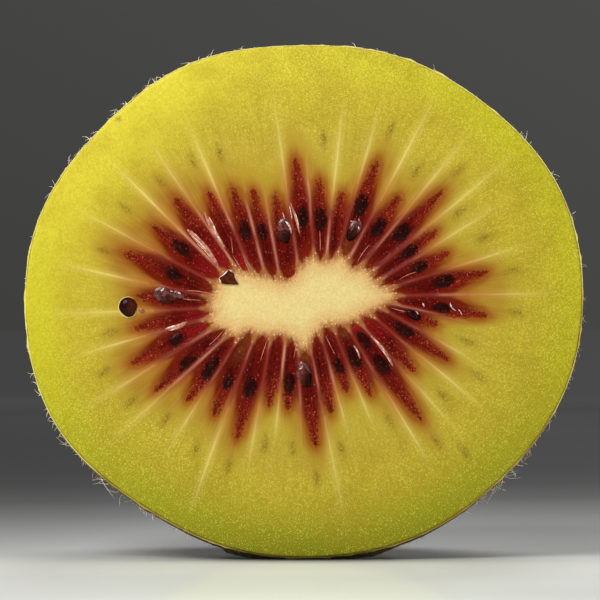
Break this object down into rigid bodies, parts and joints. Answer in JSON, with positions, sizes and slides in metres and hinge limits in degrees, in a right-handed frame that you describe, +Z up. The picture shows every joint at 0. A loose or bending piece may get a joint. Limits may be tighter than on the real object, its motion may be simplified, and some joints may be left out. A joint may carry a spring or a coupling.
{
  "type": "kiwi fruit half",
  "caption": "Half of a red-fleshed kiwi fruit resting on its skin side, its oval cut face upright with a pale core, a star of red seed cells and small seeds.",
  "frame": {"origin": "on the surface it stands on, under the middle of its bounding box", "axes": "+Z up; the cut face looks along -Y; +X to the right as seen from in front of the cut, the fruit's widest direction; the stem end points along +Y"},
  "size_m": [0.0523, 0.0346, 0.048],
  "materials": {
    "outer_flesh": "moist yellow-green fruit flesh, faintly grained and softly translucent",
    "seed_flesh": "wet dark red seed cells between thin pinkish walls",
    "core": "smooth cream core, matt and slightly moist",
    "skin": "thin dry brown skin with fine pale hairs",
    "seed": "wet black-brown seeds with a glossy film"
  },
  "bodies": {
    "root": {"outer_flesh": "outer_flesh", "seed_flesh": "seed_flesh", "core": "core"}
  },
  "joints": []
}
